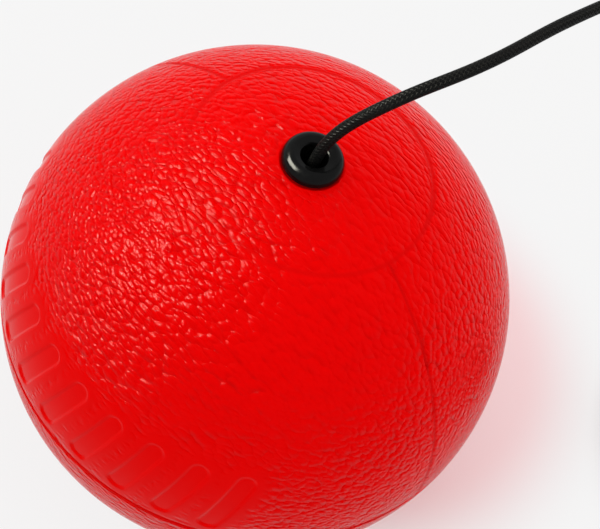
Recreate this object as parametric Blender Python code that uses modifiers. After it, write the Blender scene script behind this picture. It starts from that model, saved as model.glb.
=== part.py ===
"""Boxing reflex ball: a moulded foam ball that swivels on a covered elastic cord.

Metres, +Z up along the eyelet's axis. The origin is the centre of the small flat that the ball stands on.
The cord runs from its knot inside the ball, out of the eyelet and over to the floor, where the rest is coiled.
"""
from math import atan2, cos, pi, radians, sin, sqrt

import bpy
import numpy as np
from mathutils import Euler, Vector

MM = 0.001
clearance = 0.3 * MM

# The ball and the grooves of its mould
ball_diameter = 66 * MM
rest_flat_diameter = 12 * MM
groove_width = 1.1 * MM
groove_depth = 0.35 * MM
cap_groove_angle = radians(26.4)
cap_groove_tilt = radians(3.7)
cap_groove_heading = radians(83)
meridian_heading = radians(147.5)
meridian_tilt = radians(1.7)

# The eyelet, a domed ring on a barbed shank
eyelet_diameter = 7.2 * MM
eyelet_hole_diameter = 3.1 * MM
eyelet_height = 1.5 * MM
eyelet_waist = 0.5 * MM
eyelet_seat_depth = 0.6 * MM
eyelet_skirt = 0.4 * MM
shank_diameter = 4.6 * MM
shank_length = 12 * MM
shank_chamfer = 0.3 * MM
first_barb_depth = 1.8 * MM
barb_reach = 0.35 * MM
barb_pitch = 3.2 * MM
barb_taper = 2.4 * MM
barb_count = 3

# What holds the cord in the bore
washer_thickness = 0.8 * MM
knot_room = 11.5 * MM

# An overhand knot: the reach of its curve, how large the curve is each way, and its two ends
knot_reach = 1.98
knot_depth_scale = 0.105 * MM
knot_side_scale = 0.40 * MM
knot_along_scale = 0.66 * MM
knot_middle = 3.6 * MM
knot_neck = 0.9 * MM
knot_end_start = 6.4 * MM
knot_length = 7.4 * MM
knot_detail = 0.35 * MM

# The cord and its coil
cord_diameter = 1.4 * MM
coil_centre = (71.5 * MM, 24 * MM)
coil_middle_diameter = 15 * MM
coil_pitch = 1.85 * MM
coil_turns_per_layer = 3
coil_layers = 4
points_per_turn = 24
tie_width = 3 * MM
tie_thickness = 0.4 * MM
floor_clearance = 0.05 * MM

# Route of the cord in millimetres: up the bore, over the ball's shoulder and down to the floor
lead_route_mm = [
    (0, 0, 58), (0.05, 0, 63), (0.25, 0.02, 66.3), (0.6, 0.1, 68.9), (1.75, 0.75, 72), (4.1, 2, 75.3),
    (7.5, 4.6, 77.8), (11.2, 8, 79.2), (14.9, 12.4, 79.9), (18.5, 17.75, 80), (22.05, 22.9, 79.7),
    (26.4, 29, 78.5), (30.8, 34.3, 75.6), (35.5, 38.9, 70.4), (40.3, 42.6, 62.6), (45.1, 45.1, 52),
    (49.6, 46.4, 39.8), (53.7, 46.5, 27), (57.2, 45.2, 14.8), (59.9, 42.4, 5.9), (61.1, 38.6, 1.6),
    (61.3, 34.5, 0.78), (61.25, 30, 1),
]
# Route of the tail in millimetres: off the coil's last turn and down beside it to the end knot
tail_route_mm = [
    (81.7, 30, 6.6), (80.9, 34.2, 4.9), (79.1, 37.8, 3), (76.4, 40.2, 2.2),
]
end_knot_place = (73.9 * MM, 41.2 * MM, 2.15 * MM)
end_knot_heading = radians(162)

ball_radius = ball_diameter / 2
rest_flat_radius = rest_flat_diameter / 2
cord_radius = cord_diameter / 2
centre_height = sqrt(ball_radius**2 - rest_flat_radius**2)
pole_height = centre_height + ball_radius
washer_top = pole_height - shank_length - clearance
knot_top = washer_top - washer_thickness - clearance
bore_floor = knot_top - knot_room
coil_inner_radius = coil_middle_diameter / 2 - coil_turns_per_layer * coil_pitch / 2
coil_outer_radius = coil_middle_diameter / 2 + coil_turns_per_layer * coil_pitch / 2


def clear_scene():
    """Remove whatever the scene holds."""
    for item in list(bpy.data.objects):
        bpy.data.objects.remove(item, do_unlink=True)


def new_collection(name):
    """Make a collection in the scene."""
    collection = bpy.data.collections.new(name)
    bpy.context.scene.collection.children.link(collection)
    return collection


def make_material(name, colour, roughness):
    """Make a plain Principled material."""
    material = bpy.data.materials.new(name)
    material.use_nodes = True
    shader = material.node_tree.nodes["Principled BSDF"]
    shader.inputs["Base Color"].default_value = (*colour, 1)
    shader.inputs["Roughness"].default_value = roughness
    return material


def place(name, data, collection, material=None):
    """Add an object with this data to a collection."""
    item = bpy.data.objects.new(name, data)
    collection.objects.link(item)
    if material:
        data.materials.append(material)
    return item


def make_cutter(item):
    """Keep a cutting body out of the finished object."""
    item.hide_render = True
    item.display_type = "WIRE"


def turned(name, profile, steps, collection, material=None, closed=False):
    """Turn a profile of (radius, height) pairs round Z. It runs down its outer side."""
    count = len(profile)
    edges = [(k, k + 1) for k in range(count - 1)]
    if closed:
        edges.append((count - 1, 0))
    mesh = bpy.data.meshes.new(name)
    mesh.from_pydata([(radius, 0, height) for radius, height in profile], edges, [])
    item = place(name, mesh, collection, material)
    screw = item.modifiers.new("Turn", "SCREW")
    screw.steps = steps
    screw.render_steps = steps
    screw.use_merge_vertices = True
    screw.merge_threshold = 0.00001
    screw.use_smooth_shade = True
    return item


def arc(centre, radii, start, end, count):
    """Points of an elliptic arc as (radius, height) pairs, both ends included."""
    angles = np.linspace(start, end, count)
    return [(centre[0] + radii[0] * cos(a), centre[1] + radii[1] * sin(a)) for a in angles]


def groove_section():
    """Radius of a round groove cutter, and how far its centre stands off the surface."""
    half = groove_width / 2
    radius = (half**2 + groove_depth**2) / (2 * groove_depth)
    return radius, radius - groove_depth


def ball_profile():
    """Half section of the ball, from the top pole down to the rest flat, with the equator groove."""
    half = groove_width / 2 / ball_radius
    flat_edge = pi - atan2(rest_flat_radius, centre_height)
    upper = np.linspace(0, pi / 2 - half, 17)
    lower = np.linspace(pi / 2 + half, flat_edge, 16)
    points = [(ball_radius * sin(a), centre_height + ball_radius * cos(a)) for a in upper]
    points.append((ball_radius - groove_depth, centre_height))
    points += [(ball_radius * sin(a), centre_height + ball_radius * cos(a)) for a in lower]
    points[0] = (0, pole_height)
    points[-1] = (rest_flat_radius, 0)
    points.append((0, 0))
    return points


def shank_outline(offset):
    """The barbed shank's outer side from top to bottom, moved out by an offset."""
    core = shank_diameter / 2 + offset
    tip = core + barb_reach
    points = []
    for k in range(barb_count):
        ledge = pole_height - first_barb_depth - k * barb_pitch + offset
        points += [(core, ledge), (tip, ledge), (core, ledge - barb_taper - offset)]
    return points


def bore_cutter(cutters):
    """Seat, barbed bore and knot room, as one turned cutting body."""
    seat_radius = eyelet_diameter / 2 + clearance / 2
    seat = pole_height - eyelet_seat_depth
    above = pole_height + eyelet_height
    bore_radius = shank_diameter / 2 + clearance
    profile = [(0, above), (seat_radius, above), (seat_radius, seat), (bore_radius, seat)]
    profile += shank_outline(clearance)
    profile += [(bore_radius, bore_floor), (0, bore_floor)]
    return turned("bore_cutter", profile, 32, cutters)


def groove_cutter(name, cutters, circle_angle, rotation, segments):
    """A thin ring that cuts a groove along a circle of the ball, at an angle from the circle's axis."""
    section_radius, stand_off = groove_section()
    reach = ball_radius + stand_off
    bpy.ops.mesh.primitive_torus_add(
        major_radius=reach * sin(circle_angle), minor_radius=section_radius,
        major_segments=segments, minor_segments=8,
    )
    ring = bpy.context.object
    ring.name = name
    axis = Vector((0, 0, 1))
    axis.rotate(rotation)
    ring.rotation_euler = rotation
    ring.location = Vector((0, 0, centre_height)) + axis * reach * cos(circle_angle)
    for collection in list(ring.users_collection):
        collection.objects.unlink(ring)
    cutters.objects.link(ring)
    return ring


def make_ball(parts, cutters, material):
    """The foam ball: a turned body cut by the bore, the cap groove and the meridian groove."""
    ball = turned("foam_ball", ball_profile(), 64, parts, material)
    cap_rotation = Euler((0, cap_groove_tilt, cap_groove_heading))
    meridian_rotation = Euler((0, pi / 2 + meridian_tilt, meridian_heading - pi / 2))
    tools = [
        groove_cutter("cap_groove_cutter", cutters, cap_groove_angle, cap_rotation, 60),
        groove_cutter("meridian_groove_cutter", cutters, pi / 2, meridian_rotation, 90),
        bore_cutter(cutters),
    ]
    for tool in tools:
        make_cutter(tool)
        cut = ball.modifiers.new(tool.name, "BOOLEAN")
        cut.operation = "DIFFERENCE"
        cut.object = tool
    return ball


def make_eyelet(parts, material):
    """The eyelet: a plump ring whose barbed shank is pressed into the foam."""
    outer = eyelet_diameter / 2
    hole = eyelet_hole_diameter / 2
    middle = (outer + hole) / 2
    half = (outer - hole) / 2
    waist = pole_height + eyelet_waist
    under = pole_height - eyelet_seat_depth + clearance
    crown = arc((middle, waist), (half, eyelet_height - eyelet_waist), pi, 0, 13)
    skirt = arc((outer - eyelet_skirt, waist), (eyelet_skirt, waist - under), 0, -pi / 2, 5)
    end = pole_height - shank_length
    shank = [(shank_diameter / 2, under)] + shank_outline(0)
    shank += [
        (shank_diameter / 2, end + shank_chamfer), (shank_diameter / 2 - shank_chamfer, end), (hole, end),
    ]
    return turned("eyelet", crown + skirt[1:] + shank, 32, parts, material, closed=True)


def make_washer(parts, material):
    """The washer between the shank and the knot."""
    outer = shank_diameter / 2
    inner = cord_radius + clearance
    low = washer_top - washer_thickness
    profile = [(inner, washer_top), (outer, washer_top), (outer, low), (inner, low)]
    return turned("anchor_washer", profile, 24, parts, material, closed=True)


def smooth_curve(route, spacing):
    """Evenly spaced points on the natural cubic spline through a route."""
    knots = np.array(route, dtype=float)
    count = len(knots)
    steps = np.linalg.norm(np.diff(knots, axis=0), axis=1)
    ends = np.concatenate([[0], np.cumsum(steps)])
    system = np.eye(count)
    target = np.zeros((count, 3))
    for k in range(1, count - 1):
        before, after = steps[k - 1], steps[k]
        system[k, k - 1:k + 2] = before, 2 * (before + after), after
        target[k] = 6 * ((knots[k + 1] - knots[k]) / after - (knots[k] - knots[k - 1]) / before)
    bend = np.linalg.solve(system, target)
    fine = np.linspace(0, ends[-1], 40 * count)
    span = np.clip(np.searchsorted(ends, fine, side="right") - 1, 0, count - 2)
    length = steps[span][:, None]
    ahead = (fine - ends[span])[:, None] / length
    behind = 1 - ahead
    curve = behind * knots[span] + ahead * knots[span + 1]
    curve += ((behind**3 - behind) * bend[span] + (ahead**3 - ahead) * bend[span + 1]) * length**2 / 6
    travel = np.concatenate([[0], np.cumsum(np.linalg.norm(np.diff(curve, axis=0), axis=1))])
    even = np.linspace(0, travel[-1], round(travel[-1] / spacing) + 1)
    return np.column_stack([np.interp(even, travel, curve[:, axis]) for axis in range(3)])


def coil_points():
    """The coil's centreline: layers that spiral in and out, with a half turn of climb between them."""
    inner = coil_inner_radius
    outer = coil_outer_radius
    rate = coil_pitch / (2 * pi)
    bottom = floor_clearance + tie_thickness + clearance + cord_radius
    steps = coil_turns_per_layer * points_per_turn
    half = points_per_turn // 2
    turn = 2 * pi / points_per_turn
    angle = pi
    points = []

    def add(radius, height):
        x = coil_centre[0] + radius * cos(angle)
        y = coil_centre[1] + radius * sin(angle)
        points.append((x, y, height))

    for layer in range(coil_layers):
        height = bottom + layer * coil_pitch
        start, growth = (outer, -rate) if layer % 2 == 0 else (inner, rate)
        for k in range(steps):
            add(start + growth * k * turn, height)
            angle += turn
        if layer == coil_layers - 1:
            add(start + growth * steps * turn, height)
            break
        for k in range(half):
            climb = k * turn
            add(start + growth * steps * turn + growth * sin(climb), height + coil_pitch * (1 - cos(climb)) / 2)
            angle += turn
    points = np.array(points)
    first = points[0] - (points[1] - points[0]) / np.linalg.norm(points[1] - points[0]) * cord_diameter
    last = points[-1] + (points[-1] - points[-2]) / np.linalg.norm(points[-1] - points[-2]) * cord_diameter
    return np.vstack([first, points, last])


def least_gap(points):
    """The least gap between a tube's turns, measured between points a third of a turn or more apart."""
    skip = points_per_turn // 3
    least = min(
        np.linalg.norm(points[k + skip:] - points[k], axis=1).min() for k in range(len(points) - skip)
    )
    return least - cord_diameter


def knot_points():
    """An overhand knot's centreline along -Z from the origin, with a short end below it."""
    t = np.linspace(-knot_reach, knot_reach, 40)
    along = knot_along_scale * (t**3 - 3 * t)
    side = knot_side_scale * (t**4 - 4 * t**2 + 1.6)
    depth = knot_depth_scale * (t**5 - 10 * t)
    body = np.column_stack([depth, side, -along - knot_middle])
    upper = [(0, 0, 0), (0, 0, -knot_neck)]
    lower = [(0, 0, -knot_end_start), (0, 0, -knot_length)]
    return smooth_curve(np.vstack([upper, body, lower]), knot_detail)


def tube(name, points, sides_level, collection, material):
    """A round tube with filled ends along the given points."""
    curve = bpy.data.curves.new(name, "CURVE")
    curve.dimensions = "3D"
    curve.bevel_depth = cord_radius
    curve.bevel_resolution = sides_level
    curve.use_fill_caps = True
    spline = curve.splines.new("POLY")
    spline.points.add(len(points) - 1)
    for target, point in zip(spline.points, points):
        target.co = (*point, 1)
    return place(name, curve, collection, material)


def make_knot_mesh():
    """A tight knot as one body: the knotted tube, with its strands fused where they press together."""
    strand = tube("knot_strand", knot_points(), 2, bpy.context.scene.collection, None)
    depsgraph = bpy.context.evaluated_depsgraph_get()
    mesh = bpy.data.meshes.new_from_object(strand.evaluated_get(depsgraph))
    bpy.data.objects.remove(strand, do_unlink=True)
    return mesh


def make_knot(name, mesh, collection, material, location, rotation):
    """Place one knot and fuse its strands."""
    knot = place(name, mesh.copy(), collection, material)
    knot.location = location
    knot.rotation_euler = rotation
    weld = knot.modifiers.new("Weld caps", "WELD")
    weld.merge_threshold = 0.00001
    fuse = knot.modifiers.new("Fuse strands", "REMESH")
    fuse.mode = "VOXEL"
    fuse.voxel_size = knot_detail
    return knot


def rounded_rectangle(width, height, radius, corner_points):
    """Points of an upright rectangle with round corners, centred on the origin."""
    points = []
    for k, (right, up) in enumerate([(1, 1), (-1, 1), (-1, -1), (1, -1)]):
        corner = (right * (width / 2 - radius), up * (height / 2 - radius))
        points += arc(corner, (radius, radius), k * pi / 2, (k + 1) * pi / 2, corner_points)
    return points


def make_tie(parts, material):
    """The band round the coil's turns, on their -Y side, with room for the bow of the inner turn."""
    swing = coil_pitch / (2 * pi)
    bow = coil_inner_radius - sqrt(coil_inner_radius**2 - (tie_width / 2)**2)
    near = coil_inner_radius - swing - bow - cord_radius - clearance
    far = coil_outer_radius + swing + cord_radius + clearance
    inner_width = far - near
    inner_height = (coil_layers - 1) * coil_pitch + cord_diameter + 2 * clearance
    curve = bpy.data.curves.new("coil_tie", "CURVE")
    curve.dimensions = "2D"
    curve.fill_mode = "BOTH"
    curve.extrude = tie_width / 2
    for grow in (tie_thickness, 0):
        outline = rounded_rectangle(
            inner_width + 2 * grow, inner_height + 2 * grow, cord_radius + grow, 5
        )
        spline = curve.splines.new("POLY")
        spline.points.add(len(outline) - 1)
        spline.use_cyclic_u = True
        for target, point in zip(spline.points, outline):
            target.co = (*point, 0, 1)
    tie = place("coil_tie", curve, parts, material)
    height = floor_clearance + tie_thickness + inner_height / 2
    tie.location = (coil_centre[0], coil_centre[1] - (near + far) / 2, height)
    tie.rotation_euler = (pi / 2, 0, pi / 2)
    return tie


def in_metres(route_mm):
    """A route's points in metres."""
    return np.array(route_mm) * MM


def make_cord(parts, material, tie_material):
    """The cord in its stretches, its knots and the tie, all turning with the swivel."""
    coil = coil_points()
    arrive = (coil[1] - coil[0]) / np.linalg.norm(coil[1] - coil[0])
    leave = (coil[-1] - coil[-2]) / np.linalg.norm(coil[-1] - coil[-2])
    knot_start = np.array([0, 0, knot_top])
    lead_ends = [coil[0] - arrive * 2 * cord_diameter, coil[0] - arrive * clearance]
    lead = smooth_curve(
        np.vstack([knot_start + (0, 0, clearance), in_metres(lead_route_mm), lead_ends]), 2.5 * cord_diameter
    )
    end_knot_direction = np.array([cos(end_knot_heading), sin(end_knot_heading), 0])
    end_knot_start = np.array(end_knot_place)
    tail_start = [coil[-1] + leave * clearance, coil[-1] + leave * 2 * cord_diameter]
    tail_end = end_knot_start - end_knot_direction * clearance
    tail = smooth_curve(np.vstack([tail_start, in_metres(tail_route_mm), tail_end]), 2 * cord_diameter)
    knot_mesh = make_knot_mesh()
    on_side = Euler((0, -pi / 2, end_knot_heading))
    pieces = [
        make_knot("anchor_knot", knot_mesh, parts, material, knot_start, (0, 0, 0)),
        tube("cord_lead", lead, 2, parts, material),
        tube("cord_coil", coil, 1, parts, material),
        tube("cord_tail", tail, 2, parts, material),
        make_knot("end_knot", knot_mesh, parts, material, end_knot_start, on_side),
        make_tie(parts, tie_material),
    ]
    report_cord(lead, coil, tail)
    return pieces


def report_cord(lead, coil, tail):
    """Print the coil's least gap to itself and the cord's length with both knots."""
    total = 0
    for points in (lead, coil, tail, knot_points(), knot_points()):
        total += np.linalg.norm(np.diff(points, axis=0), axis=1).sum()
    print(f"coil: least gap to itself {least_gap(coil) / MM:.2f} mm")
    print(f"cord: {total / MM:.0f} mm long")


def main():
    """Build the whole object."""
    clear_scene()
    parts = new_collection("boxing_reflex_ball")
    cutters = new_collection("cutters")
    foam = make_material("red_foam", (0.84, 0.012, 0.012), 0.45)
    plastic = make_material("black_plastic", (0.012, 0.012, 0.013), 0.2)
    nylon = make_material("natural_nylon", (0.75, 0.74, 0.7), 0.5)
    elastic = make_material("black_elastic", (0.015, 0.015, 0.016), 0.75)
    tape = make_material("grey_tape", (0.12, 0.12, 0.125), 0.8)
    make_ball(parts, cutters, foam)
    make_eyelet(parts, plastic)
    make_washer(parts, nylon)
    swivel = bpy.data.objects.new("cord_swivel", None)
    parts.objects.link(swivel)
    for piece in make_cord(parts, elastic, tape):
        piece.parent = swivel


main()
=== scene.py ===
"""Looks of the boxing reflex ball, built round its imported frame.

Metres, +Z up along the eyelet's axis, as in the frame. The ball, the eyelet, the cord and its tie
are modelled here and stand for their solids. The washer keeps its solid and gets a finish.
"""

from math import cos, pi, radians, sin, sqrt, tan

import bmesh
import bpy
import numpy as np
from mathutils import Euler, Matrix, Vector


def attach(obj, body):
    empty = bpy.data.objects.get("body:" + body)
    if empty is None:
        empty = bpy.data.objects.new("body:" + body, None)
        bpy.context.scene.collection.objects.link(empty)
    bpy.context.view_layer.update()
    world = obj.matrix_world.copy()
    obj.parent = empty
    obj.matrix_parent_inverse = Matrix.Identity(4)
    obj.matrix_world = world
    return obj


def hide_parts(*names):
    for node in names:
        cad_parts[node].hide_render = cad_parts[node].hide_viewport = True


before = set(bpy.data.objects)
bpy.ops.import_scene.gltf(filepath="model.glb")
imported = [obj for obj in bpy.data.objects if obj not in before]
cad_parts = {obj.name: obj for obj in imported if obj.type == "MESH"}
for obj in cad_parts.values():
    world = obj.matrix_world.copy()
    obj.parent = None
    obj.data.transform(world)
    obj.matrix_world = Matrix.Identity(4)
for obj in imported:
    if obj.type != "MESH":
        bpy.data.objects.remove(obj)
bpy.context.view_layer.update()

MM = 0.001

# Room between pieces, and how far two faces turn from each other before their edge is shaded sharp
clearance = 0.3 * MM
sharp_angle = radians(40)

# The ball
ball_radius = 33 * MM
rest_flat_radius = 6 * MM
centre_height = sqrt(ball_radius**2 - rest_flat_radius**2)
pole_height = centre_height + ball_radius
ball_centre = Vector((0, 0, centre_height))

# The grooves of the mould, each with its width and depth. The cap groove has its full depth towards
# one side, and fades to a share of it towards the other. A groove is clear between two depths.
cap_groove_angle = radians(26.4)
cap_groove_rotation = Euler((0, radians(3.7), radians(83)))
cap_groove_size = (1.7 * MM, 0.22 * MM)
cap_groove_clear_side = (0.15, 0.99, 0)
cap_groove_fade = (-0.05, 0.4)
cap_groove_faint_share = 0.45
meridian_rotation = Euler((0, pi / 2 + radians(1.7), radians(147.5) - pi / 2))
meridian_size = (0.75 * MM, 0.15 * MM)
meridian_share_in_cap = 0.5
equator_size = (1.2 * MM, 0.42 * MM)
clear_groove_depths = (0.04 * MM, 0.13 * MM)

# The row of plain slanted bars above the equator groove, whose edge slopes from inside to outside
bar_count = 11
bar_width = 2.5 * MM
bar_pitch = 5.8 * MM
bar_slant = 0.3
bar_depth = 0.24 * MM
bar_edge = (-0.25 * MM, 0.15 * MM)
bar_top_angle = radians(67)
bar_bottom_angle = radians(86.5)
bar_middle_heading = radians(-131)

# The leather grain: how many pebbles to a millimetre, the way that they run and how far they are drawn
# out along it, how high and how bent they are, and how unevenly they lie
grain_scale = 1.55
grain_run = (0.922, -0.338, -0.188)
grain_draw = 0.5
grain_height = 0.35
grain_bend = 0.5
bend_scale = 0.8
uneven_scale = 0.9
uneven_height = 0.1
uneven_shift = (50.0, 0.0, 0.0)

# What the grain loses in a groove, and over what distances it fades at a bar and at the eyelet
grain_loss_in_groove = 0.85
grain_fade_at_bar = (0.3 * MM, 3.6 * MM)
grain_fade_at_eyelet = 0.8 * MM

# The eyelet, a dished ring on a barbed shank, and the edge of its seat from inside to outside
eyelet_radius = 3.6 * MM
eyelet_hole_radius = 1.55 * MM
eyelet_height = 1.5 * MM
eyelet_waist = 0.15 * MM
eyelet_shoulder = 1.2 * MM
eyelet_skirt = 0.4 * MM
eyelet_lip = 0.35 * MM
eyelet_dish = 0.3 * MM
eyelet_seat_depth = 0.6 * MM
eyelet_seat_edge = (-0.15 * MM, 0.1 * MM)
shank_radius = 2.3 * MM
shank_length = 12 * MM
shank_chamfer = 0.3 * MM
first_barb_depth = 1.8 * MM
barb_reach = 0.35 * MM
barb_pitch = 3.2 * MM
barb_taper = 2.4 * MM
barb_count = 3

# What holds the cord in the bore
washer_thickness = 0.8 * MM
knot_room = 11.5 * MM
knot_top = pole_height - shank_length - washer_thickness - 2 * clearance
bore_floor = knot_top - knot_room

# An overhand knot: the reach of its curve, how large the curve is each way, and its two ends
knot_reach = 1.98
knot_depth_scale = 0.105 * MM
knot_side_scale = 0.40 * MM
knot_along_scale = 0.66 * MM
knot_middle = 3.6 * MM
knot_neck = 0.9 * MM
knot_end_start = 6.4 * MM
knot_length = 7.4 * MM

# The cord, its coil and the tie
cord_radius = 0.7 * MM
cord_diameter = 2 * cord_radius
coil_centre = (71.5 * MM, 24 * MM)
coil_middle_diameter = 15 * MM
coil_pitch = 1.85 * MM
coil_turns_per_layer = 3
coil_layers = 4
coil_run_in = 3 * cord_diameter
tie_width = 3 * MM
tie_thickness = 0.4 * MM
floor_clearance = 0.05 * MM
coil_inner_radius = coil_middle_diameter / 2 - coil_turns_per_layer * coil_pitch / 2
coil_outer_radius = coil_middle_diameter / 2 + coil_turns_per_layer * coil_pitch / 2

# The braid: how many strands cross a turn round the cord, and a diameter's length along it
braid_strands_round = 8.0
braid_strands_along = 2.6

# Route of the cord in millimetres: up the bore, over the ball's shoulder and down to the floor
lead_route_mm = [
    (0, 0, 58), (0.05, 0, 63), (0.25, 0.02, 66.3), (0.6, 0.1, 68.9), (1.75, 0.75, 72), (4.1, 2, 75.3),
    (7.5, 4.6, 77.8), (11.2, 8, 79.2), (14.9, 12.4, 79.9), (18.5, 17.75, 80), (22.05, 22.9, 79.7),
    (26.4, 29, 78.5), (30.8, 34.3, 75.6), (35.5, 38.9, 70.4), (40.3, 42.6, 62.6), (45.1, 45.1, 52),
    (49.6, 46.4, 39.8), (53.7, 46.5, 27), (57.2, 45.2, 14.8), (59.9, 42.4, 5.9), (61.1, 38.6, 1.6),
    (61.3, 34.5, 0.78), (61.25, 30, 1),
]
# Route of the tail in millimetres: off the coil's last turn and down beside it to the end knot
tail_route_mm = [
    (81.7, 30, 6.6), (80.9, 34.2, 4.9), (79.1, 37.8, 3), (76.4, 40.2, 2.2),
]
end_knot_place = Vector((73.9, 41.2, 2.15)) * MM
end_knot_rotation = Euler((0, -pi / 2, radians(162)))

# How finely the meshes are divided, and how far from a groove or bar each further division reaches
ball_divisions = 72
refine_reaches = (1.7 * MM, 1.1 * MM)
eyelet_steps = 128
cord_sides = 16
cord_spacing = 0.25 * MM
curve_detail = 40
knot_points_count = 40
points_per_turn = 24

# The pale floor, the shadows of the ball and the coil on it, and a pink painted into the ball's shadow for
# its bounced red
floor_reach = 4
floor_glow = 0.9
floor_brightness = 0.93
floor_brightness_unseen = 0.55
shadow_centre = (21.5 * MM, 18.5 * MM, 0)
shadow_fade = (23 * MM, 41 * MM)
painted_bounce_colour = (1.0, 0.78, 0.79)
coil_shadow_fade = (8 * MM, 22 * MM)
coil_shadow_strength = 0.5

# The world: the white that is seen, and the dome of light with the way that it brightens
seen_white = 0.92
dome_brightness = 0.86
dome_slope = (-0.24, 0.2, 0.22)

# The key light, whose long side lies along the grain
key_direction = (-0.735, -0.254, 0.629)
key_side = grain_run
key_distance = 1.0
key_size = (0.7, 0.54)
key_radiance = 64
key_colour = (1.0, 0.98, 0.82)

# The photograph's camera
camera_lens = 82.49
camera_place = (0, -90.51 * MM, 189.77 * MM)
camera_aim = Vector((3.65, 5.32, 35.7)) * MM
camera_roll = radians(24.14)


def smoothstep(values, low, high):
    """0 below low, 1 above high and a smooth rise between."""
    share = np.clip((values - low) / (high - low), 0, 1)
    return share * share * (3 - 2 * share)


def add_object(name, data):
    """Add an object with this data to the scene."""
    item = bpy.data.objects.new(name, data)
    bpy.context.scene.collection.objects.link(item)
    return item


def new_object(name, mesh, material, sharp_corners=False):
    """Add a smooth-shaded object with this mesh to the scene, with its corners sharp if asked."""
    mesh.shade_smooth()
    if sharp_corners:
        mesh.set_sharp_from_angle(angle=sharp_angle)
    mesh.materials.append(material)
    return add_object(name, mesh)


# Node helpers


def new_material(name):
    """A node material. Gives the material, its node tree and its shader node."""
    material = bpy.data.materials.new(name)
    material.use_nodes = True
    tree = material.node_tree
    return material, tree, tree.nodes["Principled BSDF"]


def fill_inputs(tree, node, inputs):
    """Set a node's inputs to values, or link them to sockets."""
    for key, value in inputs.items():
        if isinstance(value, bpy.types.NodeSocket):
            tree.links.new(value, node.inputs[key])
        else:
            node.inputs[key].default_value = value


def add_node(tree, kind, inputs, **settings):
    """Add a node, set its properties and fill its inputs."""
    node = tree.nodes.new(kind)
    for name, value in settings.items():
        setattr(node, name, value)
    fill_inputs(tree, node, inputs)
    return node


def calc(tree, operation, *values):
    """The output of a Math node."""
    return add_node(tree, "ShaderNodeMath", dict(enumerate(values)), operation=operation).outputs[0]


def calc_vector(tree, operation, *values):
    """The vector output of a Vector Math node."""
    return add_node(tree, "ShaderNodeVectorMath", dict(enumerate(values)), operation=operation).outputs[0]


def scaled(tree, vector, factor):
    """A vector times a number."""
    inputs = {"Vector": vector, "Scale": factor}
    return add_node(tree, "ShaderNodeVectorMath", inputs, operation="SCALE").outputs[0]


def dot(tree, vector, direction):
    """How far a vector reaches in a direction."""
    inputs = {0: vector, 1: direction}
    return add_node(tree, "ShaderNodeVectorMath", inputs, operation="DOT_PRODUCT").outputs["Value"]


def distance_to(tree, place, centre):
    """How far a place is from a centre."""
    away = calc_vector(tree, "SUBTRACT", place, centre)
    return add_node(tree, "ShaderNodeVectorMath", {0: away}, operation="LENGTH").outputs["Value"]


def remap(tree, value, low, high, to_low=0.0, to_high=1.0):
    """A value mapped smoothly from one range to another."""
    inputs = {"Value": value, "From Min": low, "From Max": high, "To Min": to_low, "To Max": to_high}
    node = add_node(tree, "ShaderNodeMapRange", inputs, interpolation_type="SMOOTHSTEP")
    return node.outputs["Result"]


def mix_numbers(tree, factor, first, second):
    """A number between two numbers."""
    return add_node(tree, "ShaderNodeMix", {0: factor, 2: first, 3: second}).outputs[0]


def mix_colours(tree, factor, first, second):
    """A colour between two colours, each of them three numbers or a socket."""
    ends = [end if isinstance(end, bpy.types.NodeSocket) else (*end, 1) for end in (first, second)]
    return add_node(tree, "ShaderNodeMix", {0: factor, 6: ends[0], 7: ends[1]}, data_type="RGBA").outputs[2]


def grey(brightness):
    """An even grey."""
    return (brightness, brightness, brightness)


def noise(tree, vector, scale, detail=0.0, output="Fac"):
    """A noise texture's output."""
    inputs = {"Vector": vector, "Scale": scale, "Detail": detail}
    return add_node(tree, "ShaderNodeTexNoise", inputs).outputs[output]


def place_on_object(tree):
    """Places in the object's own frame, in metres."""
    return tree.nodes.new("ShaderNodeTexCoord").outputs["Object"]


def place_in_mm(tree):
    """Places in the object's own frame, in millimetres."""
    return scaled(tree, place_on_object(tree), 1 / MM)


def vertex_value(tree, name):
    """The number that a mesh keeps for each vertex under a name."""
    return add_node(tree, "ShaderNodeAttribute", {}, attribute_name=name).outputs["Fac"]


def seen_rays(tree):
    """1 where a thing is looked at, straight, mirrored or through something clear, and 0 where it lights."""
    path = tree.nodes.new("ShaderNodeLightPath").outputs
    mirrored = calc(tree, "MAXIMUM", path["Is Glossy Ray"], path["Is Transmission Ray"])
    return calc(tree, "MAXIMUM", path["Is Camera Ray"], mirrored)


def add_bump(tree, shader, height, distance):
    """Shape the shader's normal by a height, which counts in units of a distance."""
    inputs = {"Height": height, "Distance": distance, "Strength": 1.0, "Filter Width": 0.5}
    bump = add_node(tree, "ShaderNodeBump", inputs)
    tree.links.new(bump.outputs["Normal"], shader.inputs["Normal"])


# The ball


def turned_up(rotation):
    """The upward direction after a rotation."""
    axis = Vector((0, 0, 1))
    axis.rotate(rotation)
    return axis


def grooves():
    """The axis, the angle from it, the width and the depth of the cap, meridian and equator grooves."""
    return [
        (turned_up(cap_groove_rotation), cap_groove_angle, *cap_groove_size),
        (turned_up(meridian_rotation), pi / 2, *meridian_size),
        (Vector((0, 0, 1)), pi / 2, *equator_size),
    ]


def circle_distance(directions, axis, angle):
    """Distance along the surface from each direction to a circle round an axis."""
    from_axis = np.arccos(np.clip(directions @ np.array(axis), -1, 1))
    return np.abs(from_axis - angle) * ball_radius


def groove_distance(directions):
    """Distance along the surface from each direction to the nearest groove's middle."""
    return np.min([circle_distance(directions, axis, angle) for axis, angle, _, _ in grooves()], axis=0)


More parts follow.
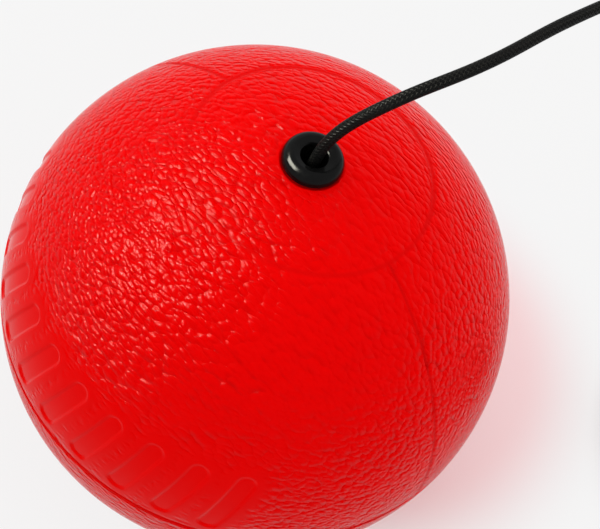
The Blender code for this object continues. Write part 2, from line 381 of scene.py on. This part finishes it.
def groove_depths(directions):
    """How deep the deepest groove is at each direction. The cap groove is faint on one side, and the
    meridian is faint inside the cap groove."""
    depths = []
    for axis, angle, width, depth in grooves():
        share = np.clip(circle_distance(directions, axis, angle) / (width / 2), 0, 1)
        depths.append(depth * np.cos(pi / 2 * share)**2)
    cap, meridian, equator = depths
    clear = smoothstep(directions @ np.array(cap_groove_clear_side), *cap_groove_fade)
    cap = cap * (cap_groove_faint_share + (1 - cap_groove_faint_share) * clear)
    in_cap = directions @ np.array(turned_up(cap_groove_rotation)) > cos(cap_groove_angle)
    meridian = np.where(in_cap, meridian_share_in_cap * meridian, meridian)
    return np.max([cap, meridian, equator], axis=0)


def eyelet_distance(directions):
    """Distance from the eyelet's axis on the upper half, and a large one below."""
    across = np.hypot(directions[:, 0], directions[:, 1]) * ball_radius
    return np.where(directions[:, 2] > 0, across, ball_radius)


def bar_distance(directions):
    """Distance from each direction to the outline of the nearest bar, below zero inside it."""
    polar = np.arccos(np.clip(directions[:, 2], -1, 1))
    heading = np.arctan2(directions[:, 1], directions[:, 0])
    turn = (heading - bar_middle_heading + pi) % (2 * pi) - pi
    middle = (bar_top_angle + bar_bottom_angle) / 2
    across = turn * ball_radius * sin(middle)
    down = (polar - middle) * ball_radius
    length = sqrt(1 + bar_slant**2)
    half_run = (bar_bottom_angle - bar_top_angle) / 2 * ball_radius * length - bar_width / 2
    index = np.round((across + bar_slant * down) / bar_pitch)
    across = across - np.clip(index, -(bar_count // 2), bar_count // 2) * bar_pitch
    beside = (across + bar_slant * down) / length
    along = (down - bar_slant * across) / length
    return np.hypot(beside, np.maximum(np.abs(along) - half_run, 0)) - bar_width / 2


def feature_distance(directions):
    """Distance to the nearest place where the mesh needs finer faces."""
    ring = np.abs(eyelet_distance(directions) - eyelet_radius)
    return np.minimum(np.minimum(groove_distance(directions), np.abs(bar_distance(directions))), ring)


def divided_sphere():
    """A unit sphere of even quads, divided further near its grooves, bars and eyelet."""
    shape = bmesh.new()
    bmesh.ops.create_cube(shape, size=2)
    bmesh.ops.subdivide_edges(shape, edges=shape.edges[:], cuts=ball_divisions - 1, use_grid_fill=True)
    for vertex in shape.verts:
        vertex.co = Vector([tan(part * pi / 4) for part in vertex.co]).normalized()
    for reach in refine_reaches:
        middles = np.array([(edge.verts[0].co + edge.verts[1].co).normalized() for edge in shape.edges])
        close = feature_distance(middles) < reach
        edges = [edge for edge, chosen in zip(shape.edges, close) if chosen]
        bmesh.ops.subdivide_edges(shape, edges=edges, cuts=1, use_grid_fill=True)
        for vertex in shape.verts:
            vertex.co.normalize()
    return shape


def surface_offsets(directions):
    """How far the moulded skin stands in or out of the true sphere."""
    bar = 1 - smoothstep(bar_distance(directions), *bar_edge)
    inner_edge, outer_edge = eyelet_seat_edge
    across = eyelet_distance(directions)
    seat = 1 - smoothstep(across, eyelet_radius + inner_edge, eyelet_radius + outer_edge)
    return -groove_depths(directions) - bar_depth * bar - eyelet_seat_depth * seat


def groove_shares(directions):
    """How much of each place is in a clear groove, from 0 to 1."""
    return smoothstep(groove_depths(directions), *clear_groove_depths)


def grain_strengths(directions):
    """How strong the grain is: weak in the grooves, and fading to none at the bars and the eyelet."""
    off_groove = 1 - grain_loss_in_groove * groove_shares(directions)
    off_bar = smoothstep(bar_distance(directions), *grain_fade_at_bar)
    off_eyelet = smoothstep(eyelet_distance(directions), eyelet_radius, eyelet_radius + grain_fade_at_eyelet)
    return off_groove * off_bar * off_eyelet


def shank_outline(offset):
    """The barbed shank's outer side from top to bottom, moved out by an offset."""
    core = shank_radius + offset
    tip = core + barb_reach
    points = []
    for k in range(barb_count):
        ledge = pole_height - first_barb_depth - k * barb_pitch + offset
        points += [(core, ledge), (tip, ledge), (core, ledge - barb_taper - offset)]
    return points


def is_over_bore(face, bore_radius):
    """Whether a face lies on top, within the bore."""
    middle = face.calc_center_median()
    return middle.z > centre_height and middle.xy.length < bore_radius


def open_bore(shape):
    """Cut a closed bore into the top of the ball, for the eyelet's barbed shank and the knot below it."""
    bore_radius = shank_radius + clearance
    inside = [face for face in shape.faces if is_over_bore(face, bore_radius)]
    bmesh.ops.delete(shape, geom=inside, context="FACES")
    rim = [edge for edge in shape.edges if edge.is_boundary]
    for vertex in {vertex for edge in rim for vertex in edge.verts}:
        vertex.co.xy = vertex.co.xy.normalized() * bore_radius
    for radius, height in [*shank_outline(clearance), (bore_radius, bore_floor)]:
        wall = bmesh.ops.extrude_edge_only(shape, edges=rim)["geom"]
        for vertex in wall:
            if isinstance(vertex, bmesh.types.BMVert):
                vertex.co.xy = vertex.co.xy.normalized() * radius
                vertex.co.z = height
        rim = [edge for edge in wall if isinstance(edge, bmesh.types.BMEdge) and edge.is_boundary]
    bmesh.ops.edgeloop_fill(shape, edges=rim)
    bmesh.ops.recalc_face_normals(shape, faces=shape.faces[:])


def set_values(shape, name, values):
    """Keep a number for each vertex under a name that materials can read."""
    layer = shape.verts.layers.float.new(name)
    for vertex, value in zip(shape.verts, values):
        vertex[layer] = value


def make_ball():
    """The foam ball with its grooves, bars, eyelet seat, bore and rest flat."""
    shape = divided_sphere()
    directions = np.array([vertex.co for vertex in shape.verts])
    radii = ball_radius + surface_offsets(directions)
    for vertex, radius in zip(shape.verts, radii):
        vertex.co = ball_centre + vertex.co * radius
        vertex.co.z = max(vertex.co.z, 0)
    set_values(shape, "grain", grain_strengths(directions))
    set_values(shape, "groove", groove_shares(directions))
    open_bore(shape)
    mesh = bpy.data.meshes.new("ball_skin")
    shape.to_mesh(mesh)
    shape.free()
    return new_object("ball_skin", mesh, ball_material())


def ball_coordinates(tree):
    """Places on the ball in millimetres from its centre, on the true sphere."""
    from_centre = calc_vector(tree, "SUBTRACT", place_on_object(tree), ball_centre)
    return scaled(tree, calc_vector(tree, "NORMALIZE", from_centre), ball_radius / MM)


def grain_relief(tree, place):
    """The moulded leather grain in millimetres: rounded pebbles, drawn out one way and lying unevenly."""
    shortening = calc(tree, "MULTIPLY", dot(tree, place, grain_run), grain_draw)
    drawn = calc_vector(tree, "SUBTRACT", place, scaled(tree, grain_run, shortening))
    bend = calc_vector(tree, "SUBTRACT", noise(tree, drawn, bend_scale, output="Color"), grey(0.5))
    bent = calc_vector(tree, "ADD", drawn, scaled(tree, bend, grain_bend))
    cells = add_node(tree, "ShaderNodeTexVoronoi", {"Vector": bent, "Scale": grain_scale}, feature="F1")
    from_top = cells.outputs["Distance"]
    pebble = calc(tree, "MULTIPLY", calc(tree, "MULTIPLY", from_top, from_top), -grain_height)
    elsewhere = calc_vector(tree, "ADD", drawn, uneven_shift)
    uneven = calc(tree, "SUBTRACT", noise(tree, elsewhere, uneven_scale), 0.5)
    return calc(tree, "MULTIPLY_ADD", uneven, uneven_height, pebble)


def ball_material():
    """Red moulded foam skin with a leather grain, duller in the grooves and darker there by painted shade.
    """
    light_red = (0.94, 0.0, 0.0)
    red = (0.9, 0.0, 0.0)
    # Painted shade: the red is darker in the grooves, where shade falls.
    groove_painted_shade_red = (0.8, 0.0, 0.0)
    groove_dullness = 0.15
    material, tree, shader = new_material("red_foam_skin")
    place = ball_coordinates(tree)
    groove = vertex_value(tree, "groove")
    patches = noise(tree, place, scale=0.16, detail=2.0)
    patchy = remap(tree, patches, low=0.3, high=0.6, to_low=0.75, to_high=1.0)
    strength = calc(tree, "MULTIPLY", vertex_value(tree, "grain"), patchy)
    add_bump(tree, shader, calc(tree, "MULTIPLY", grain_relief(tree, place), strength), MM)
    blotch = noise(tree, place, scale=0.05, detail=2.0)
    colour = mix_colours(tree, groove, mix_colours(tree, blotch, red, light_red), groove_painted_shade_red)
    wear = noise(tree, place, scale=1.5, detail=3.0)
    polish = remap(tree, wear, low=0.3, high=0.7, to_low=0.1, to_high=0.14)
    roughness = calc(tree, "MULTIPLY_ADD", groove, groove_dullness, polish)
    fill_inputs(tree, shader, {"Base Color": colour, "Roughness": roughness, "Specular IOR Level": 0.022})
    return material


# The eyelet


def arc(centre, radii, start, end, count):
    """Points of an elliptic arc as (radius, height) pairs, both ends included."""
    angles = np.linspace(start, end, count)
    return [(centre[0] + radii[0] * cos(a), centre[1] + radii[1] * sin(a)) for a in angles]


def turned_mesh(name, profile, steps):
    """A closed profile of (radius, height) pairs turned round Z."""
    count = len(profile)
    vertices = []
    faces = []
    for step in range(steps):
        angle = 2 * pi * step / steps
        vertices += [(radius * cos(angle), radius * sin(angle), height) for radius, height in profile]
        here = step * count
        there = (step + 1) % steps * count
        for k in range(count):
            after = (k + 1) % count
            faces.append((here + k, here + after, there + after, there + k))
    mesh = bpy.data.meshes.new(name)
    mesh.from_pydata(vertices, [], faces)
    return mesh


def make_eyelet():
    """The ring with its dished top, and its barbed shank."""
    top = pole_height + eyelet_height
    waist = pole_height + eyelet_waist
    under = pole_height - eyelet_seat_depth + clearance
    end = pole_height - shank_length
    lip_centre = (eyelet_hole_radius + eyelet_lip, top - eyelet_dish - eyelet_lip)
    shoulder_centre = (eyelet_radius - eyelet_shoulder, waist)
    skirt_centre = (eyelet_radius - eyelet_skirt, waist)
    profile = arc(lip_centre, (eyelet_lip, eyelet_lip), pi, pi / 2, count=13)
    profile += arc(shoulder_centre, (eyelet_shoulder, top - waist), pi / 2, 0, count=25)
    profile += arc(skirt_centre, (eyelet_skirt, waist - under), 0, -pi / 2, count=13)[1:]
    profile += [(shank_radius, under), *shank_outline(0), (shank_radius, end + shank_chamfer)]
    profile += [(shank_radius - shank_chamfer, end), (eyelet_hole_radius, end)]
    mesh = turned_mesh("eyelet_ring", profile, eyelet_steps)
    return new_object("eyelet_ring", mesh, eyelet_material(), sharp_corners=True)


def eyelet_material():
    """Glossy black moulded plastic with faint scuffs."""
    material, tree, shader = new_material("gloss_black_plastic")
    place = place_in_mm(tree)
    scuff = noise(tree, place, scale=1.2, detail=4.0)
    colour = mix_colours(tree, scuff, grey(0.002), grey(0.005))
    roughness = remap(tree, scuff, low=0.35, high=0.75, to_low=0.13, to_high=0.26)
    fill_inputs(tree, shader, {"Base Color": colour, "Roughness": roughness, "Specular IOR Level": 0.09})
    add_bump(tree, shader, noise(tree, place, scale=2.5, detail=2.0), 0.008 * MM)
    return material


# The cord


def smooth_curve(route, spacing):
    """Evenly spaced points on the natural cubic spline through a route."""
    knots = np.array(route, dtype=float)
    count = len(knots)
    steps = np.linalg.norm(np.diff(knots, axis=0), axis=1)
    ends = np.concatenate([[0], np.cumsum(steps)])
    system = np.eye(count)
    target = np.zeros((count, 3))
    for k in range(1, count - 1):
        before, after = steps[k - 1], steps[k]
        system[k, k - 1:k + 2] = before, 2 * (before + after), after
        target[k] = 6 * ((knots[k + 1] - knots[k]) / after - (knots[k] - knots[k - 1]) / before)
    bend = np.linalg.solve(system, target)
    fine = np.linspace(0, ends[-1], curve_detail * count)
    span = np.clip(np.searchsorted(ends, fine, side="right") - 1, 0, count - 2)
    length = steps[span][:, None]
    ahead = (fine - ends[span])[:, None] / length
    behind = 1 - ahead
    curve = behind * knots[span] + ahead * knots[span + 1]
    curve += ((behind**3 - behind) * bend[span] + (ahead**3 - ahead) * bend[span + 1]) * length**2 / 6
    travel = np.concatenate([[0], np.cumsum(np.linalg.norm(np.diff(curve, axis=0), axis=1))])
    even = np.linspace(0, travel[-1], round(travel[-1] / spacing) + 1)
    return np.column_stack([np.interp(even, travel, curve[:, axis]) for axis in range(3)])


def coil_point(radius, angle, height):
    """A place on the coil, by its distance and direction from the coil's middle."""
    return (coil_centre[0] + radius * cos(angle), coil_centre[1] + radius * sin(angle), height)


def coil_points():
    """The coil's centreline: layers that spiral in and out, with a half turn of climb between them."""
    rate = coil_pitch / (2 * pi)
    bottom = floor_clearance + tie_thickness + clearance + cord_radius
    steps = coil_turns_per_layer * points_per_turn
    turn = 2 * pi / points_per_turn
    angle = pi
    points = []
    for layer in range(coil_layers):
        height = bottom + layer * coil_pitch
        start, growth = (coil_outer_radius, -rate) if layer % 2 == 0 else (coil_inner_radius, rate)
        for k in range(steps):
            points.append(coil_point(start + growth * k * turn, angle, height))
            angle += turn
        end = start + growth * steps * turn
        if layer == coil_layers - 1:
            points.append(coil_point(end, angle, height))
            break
        for k in range(points_per_turn // 2):
            climb = k * turn
            rise = coil_pitch * (1 - cos(climb)) / 2
            points.append(coil_point(end + growth * sin(climb), angle, height + rise))
            angle += turn
    return np.array(points)


def knot_points(location, rotation):
    """An overhand knot's centreline, turned and placed, with its short end last."""
    t = np.linspace(-knot_reach, knot_reach, knot_points_count)
    along = knot_along_scale * (t**3 - 3 * t)
    side = knot_side_scale * (t**4 - 4 * t**2 + 1.6)
    depth = knot_depth_scale * (t**5 - 10 * t)
    body = np.column_stack([depth, side, -along - knot_middle])
    upper = [(0, 0, 0), (0, 0, -knot_neck)]
    lower = [(0, 0, -knot_end_start), (0, 0, -knot_length)]
    turning = np.array(rotation.to_matrix())
    return np.vstack([upper, body, lower]) @ turning.T + np.array(location)


def cord_path():
    """The whole cord's centreline, from the knot in the ball to the knot at its far end."""
    anchor = knot_points((0, 0, knot_top), Euler((0, 0, 0)))[::-1]
    coil = coil_points()
    arrive = (coil[1] - coil[0]) / np.linalg.norm(coil[1] - coil[0])
    leave = (coil[-1] - coil[-2]) / np.linalg.norm(coil[-1] - coil[-2])
    before_coil = [coil[0] - arrive * coil_run_in]
    after_coil = [coil[-1] + leave * coil_run_in]
    lead = np.array(lead_route_mm) * MM
    tail = np.array(tail_route_mm) * MM
    end = knot_points(end_knot_place, end_knot_rotation)
    return smooth_curve(np.vstack([anchor, lead, before_coil, coil, after_coil, tail, end]), cord_spacing)


def tube_mesh(name, path, radius, sides):
    """A round tube along a path, with flat ends. Its UV map runs round it and, in diameters, along it."""
    ahead = np.gradient(path, axis=0)
    ahead /= np.linalg.norm(ahead, axis=1)[:, None]
    side = Vector(ahead[0]).orthogonal().normalized()
    vertices = []
    for k, direction in enumerate(ahead):
        direction = Vector(direction)
        side = (side - direction * side.dot(direction)).normalized()
        up = direction.cross(side)
        for step in range(sides):
            angle = 2 * pi * step / sides
            vertices.append(Vector(path[k]) + (side * cos(angle) + up * sin(angle)) * radius)
    faces = []
    for k in range(len(path) - 1):
        here = k * sides
        there = here + sides
        for step in range(sides):
            after = (step + 1) % sides
            faces.append((here + step, here + after, there + after, there + step))
    last = (len(path) - 1) * sides
    faces.append(tuple(range(sides))[::-1])
    faces.append(tuple(range(last, last + sides)))
    mesh = bpy.data.meshes.new(name)
    mesh.from_pydata(vertices, [], faces)
    ring_step = np.linalg.norm(np.diff(path, axis=0), axis=1).mean() / (2 * radius)
    add_tube_uv(mesh, len(path), sides, ring_step)
    return mesh


def add_tube_uv(mesh, ring_count, sides, ring_step):
    """Give each corner of a tube its share of the way round and its place along."""
    layer = mesh.uv_layers.new(name="braid")
    corner = 0
    for k in range(ring_count - 1):
        for step in range(sides):
            for around, along in ((step, k), (step + 1, k), (step + 1, k + 1), (step, k + 1)):
                layer.data[corner].uv = (around / sides, along * ring_step)
                corner += 1


def make_cord(path):
    """The covered elastic cord in one length, with the knots at both its ends."""
    mesh = tube_mesh("elastic_cord", path, cord_radius, cord_sides)
    return new_object("elastic_cord", mesh, cord_material())


def cord_material():
    """A black braided cover: two sets of strands that cross over and under each other, with painted shade in
    the hollows between them.
    """
    material, tree, shader = new_material("black_braid")
    uv = add_node(tree, "ShaderNodeUVMap", {}, uv_map="braid").outputs["UV"]
    parts = add_node(tree, "ShaderNodeSeparateXYZ", {"Vector": uv})
    around = calc(tree, "MULTIPLY", parts.outputs["X"], braid_strands_round)
    along = calc(tree, "MULTIPLY", parts.outputs["Y"], braid_strands_along)
    right = calc(tree, "ADD", around, along)
    left = calc(tree, "SUBTRACT", around, along)
    right_wave = calc(tree, "SINE", calc(tree, "MULTIPLY", right, pi))
    left_wave = calc(tree, "SINE", calc(tree, "MULTIPLY", left, pi))
    over = calc(tree, "GREATER_THAN", calc(tree, "MULTIPLY", right_wave, left_wave), 0.0)
    right_height = calc(tree, "ABSOLUTE", right_wave)
    left_height = calc(tree, "ABSOLUTE", left_wave)
    height = mix_numbers(tree, over, right_height, left_height)
    # Painted shade: the black is darker in the hollows between the strands than on their crests.
    colour = mix_colours(tree, height, grey(0.001), grey(0.006))
    roughness = remap(tree, height, low=0.0, high=1.0, to_low=0.6, to_high=0.35)
    fill_inputs(tree, shader, {"Base Color": colour, "Roughness": roughness, "Specular IOR Level": 0.05})
    add_bump(tree, shader, height, 0.09 * MM)
    return material


# The tie and the washer


def rounded_rectangle(width, height, radius, corner_points):
    """Points of an upright rectangle with round corners, centred on the origin."""
    points = []
    for k, (right, up) in enumerate([(1, 1), (-1, 1), (-1, -1), (1, -1)]):
        corner = (right * (width / 2 - radius), up * (height / 2 - radius))
        points += arc(corner, (radius, radius), k * pi / 2, (k + 1) * pi / 2, corner_points)
    return points


def make_tie():
    """The fabric band round the coil's turns."""
    swing = coil_pitch / (2 * pi)
    bow = coil_inner_radius - sqrt(coil_inner_radius**2 - (tie_width / 2)**2)
    near = coil_inner_radius - swing - bow - cord_radius - clearance
    far = coil_outer_radius + swing + cord_radius + clearance
    width = far - near
    height = (coil_layers - 1) * coil_pitch + cord_diameter + 2 * clearance
    grown = 2 * tie_thickness
    inner = rounded_rectangle(width, height, cord_radius, corner_points=9)
    outer = rounded_rectangle(width + grown, height + grown, cord_radius + tie_thickness, corner_points=9)
    middle_y = coil_centre[1] - (near + far) / 2
    middle_z = floor_clearance + tie_thickness + height / 2
    vertices = []
    for side in (-1, 1):
        x = coil_centre[0] + side * tie_width / 2
        for outline in (inner, outer):
            vertices += [(x, middle_y + across, middle_z + up) for across, up in outline]
    count = len(inner)
    faces = []
    for first, second in ((0, 1), (1, 3), (3, 2), (2, 0)):
        here = first * count
        there = second * count
        for k in range(count):
            after = (k + 1) % count
            faces.append((here + k, here + after, there + after, there + k))
    mesh = bpy.data.meshes.new("coil_band")
    mesh.from_pydata(vertices, [], faces)
    return new_object("coil_band", mesh, tie_material(), sharp_corners=True)


def tie_material():
    """Dark grey woven tape, with painted shade in the low parts of its weave."""
    material, tree, shader = new_material("grey_tape")
    inputs = {"Vector": place_in_mm(tree), "Scale": 1.2, "Distortion": 0.4, "Detail": 2.0}
    weave = add_node(tree, "ShaderNodeTexWave", inputs, bands_direction="X").outputs["Fac"]
    # Painted shade: the grey is darker where the weave lies low.
    colour = mix_colours(tree, weave, (0.05, 0.05, 0.052), (0.13, 0.13, 0.135))
    roughness = remap(tree, weave, low=0.0, high=1.0, to_low=0.95, to_high=0.75)
    fill_inputs(tree, shader, {"Base Color": colour, "Roughness": roughness})
    add_bump(tree, shader, weave, 0.05 * MM)
    return material


def washer_material():
    """Natural nylon with a faint haze."""
    material, tree, shader = new_material("natural_nylon")
    haze = noise(tree, place_in_mm(tree), scale=1.5, detail=3.0)
    colour = mix_colours(tree, haze, (0.68, 0.66, 0.6), (0.8, 0.79, 0.74))
    roughness = remap(tree, haze, low=0.3, high=0.7, to_low=0.4, to_high=0.55)
    fill_inputs(tree, shader, {"Base Color": colour, "Roughness": roughness})
    return material


# The studio


def make_floor():
    """A wide pale floor."""
    corners = [(x * floor_reach, y * floor_reach, 0) for x, y in ((-1, -1), (1, -1), (1, 1), (-1, 1))]
    mesh = bpy.data.meshes.new("floor")
    mesh.from_pydata(corners, [], [(0, 1, 2, 3)])
    floor = new_object("floor", mesh, floor_material())


def floor_material():
    """A matte white that glows where it is seen, apart from the two shadows. The ball's shadow lies on
    the side away from the key, and a pink painted into it stands in for the red light that the ball bounces."""
    material, tree, shader = new_material("pale_floor")
    place = place_on_object(tree)
    seen = seen_rays(tree)
    ball_shade = remap(tree, distance_to(tree, place, shadow_centre), *shadow_fade, 1.0, 0.0)
    from_coil = distance_to(tree, place, (*coil_centre, 0))
    coil_shade = remap(tree, from_coil, *coil_shadow_fade, coil_shadow_strength, 0.0)
    open_floor = calc(tree, "SUBTRACT", 1.0, calc(tree, "MAXIMUM", ball_shade, coil_shade))
    glow = calc(tree, "MULTIPLY", calc(tree, "MULTIPLY", open_floor, floor_glow), seen)
    # Painted light: inside the ball's shadow the floor's colour turns pink, for the red light bounced off
    # the ball.
    painted_bounce_floor = mix_colours(tree, ball_shade, grey(floor_brightness), painted_bounce_colour)
    shown = mix_colours(tree, glow, painted_bounce_floor, grey(0.0))
    colour = mix_colours(tree, seen, grey(floor_brightness_unseen), shown)
    fill_inputs(tree, shader, {"Base Color": colour, "Roughness": 0.9, "Specular IOR Level": 0.0})
    fill_inputs(tree, shader, {"Emission Color": (*grey(seen_white), 1), "Emission Strength": glow})
    return material


def make_world():
    """A soft dome of light, brighter on one side, which is seen and mirrored as even white."""
    world = bpy.data.worlds.new("studio")
    bpy.context.scene.world = world
    world.use_nodes = True
    tree = world.node_tree
    direction = tree.nodes.new("ShaderNodeTexCoord").outputs["Generated"]
    dome = calc(tree, "ADD", dot(tree, direction, dome_slope), dome_brightness)
    brightness = mix_numbers(tree, seen_rays(tree), dome, seen_white)
    fill_inputs(tree, tree.nodes["Background"], {"Color": (1, 1, 1, 1), "Strength": brightness})


def add_key_light():
    """A soft box that faces the ball and gives only its highlights, as bright as it looks from there."""
    width, height = key_size
    lamp = bpy.data.lights.new("key", "AREA")
    lamp.shape = "RECTANGLE"
    lamp.size = width
    lamp.size_y = height
    lamp.energy = pi * width * height * key_radiance
    lamp.color = key_colour
    back = Vector(key_direction).normalized()
    side = Vector(key_side)
    across = (side - back * back.dot(side)).normalized()
    facing = Matrix((across, back.cross(across), back)).transposed().to_4x4()
    item = add_object("key", lamp)
    item.matrix_world = Matrix.Translation(ball_centre + back * key_distance) @ facing
    item.visible_diffuse = False


def make_camera():
    """The camera at the photograph's place."""
    camera = bpy.data.cameras.new("camera")
    camera.lens = camera_lens
    camera.clip_start = 0.01
    item = add_object("camera", camera)
    item.location = camera_place
    facing = (item.location - camera_aim).to_track_quat("Z", "Y")
    roll = Euler((0, 0, camera_roll)).to_quaternion()
    item.rotation_euler = (facing @ roll).to_euler()
    bpy.context.scene.camera = item


def main():
    """Build the ball, the eyelet, the cord and the tie and attach each to its body, give the washer its
    finish, then build the studio.
    """
    ball = make_ball()
    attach(ball, "ball")
    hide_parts("foam_ball")

    eyelet = make_eyelet()
    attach(eyelet, "ball")
    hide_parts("eyelet")

    path = cord_path()
    cord = make_cord(path)
    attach(cord, "cord")
    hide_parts("anchor_knot", "cord_lead", "cord_coil", "cord_tail", "end_knot")

    tie = make_tie()
    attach(tie, "cord")
    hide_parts("coil_tie")

    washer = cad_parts["anchor_washer"]
    washer.data.materials.clear()
    washer.data.materials.append(washer_material())

    make_floor()
    make_world()
    add_key_light()
    make_camera()
    bpy.context.scene.view_settings.view_transform = "Standard"


main()
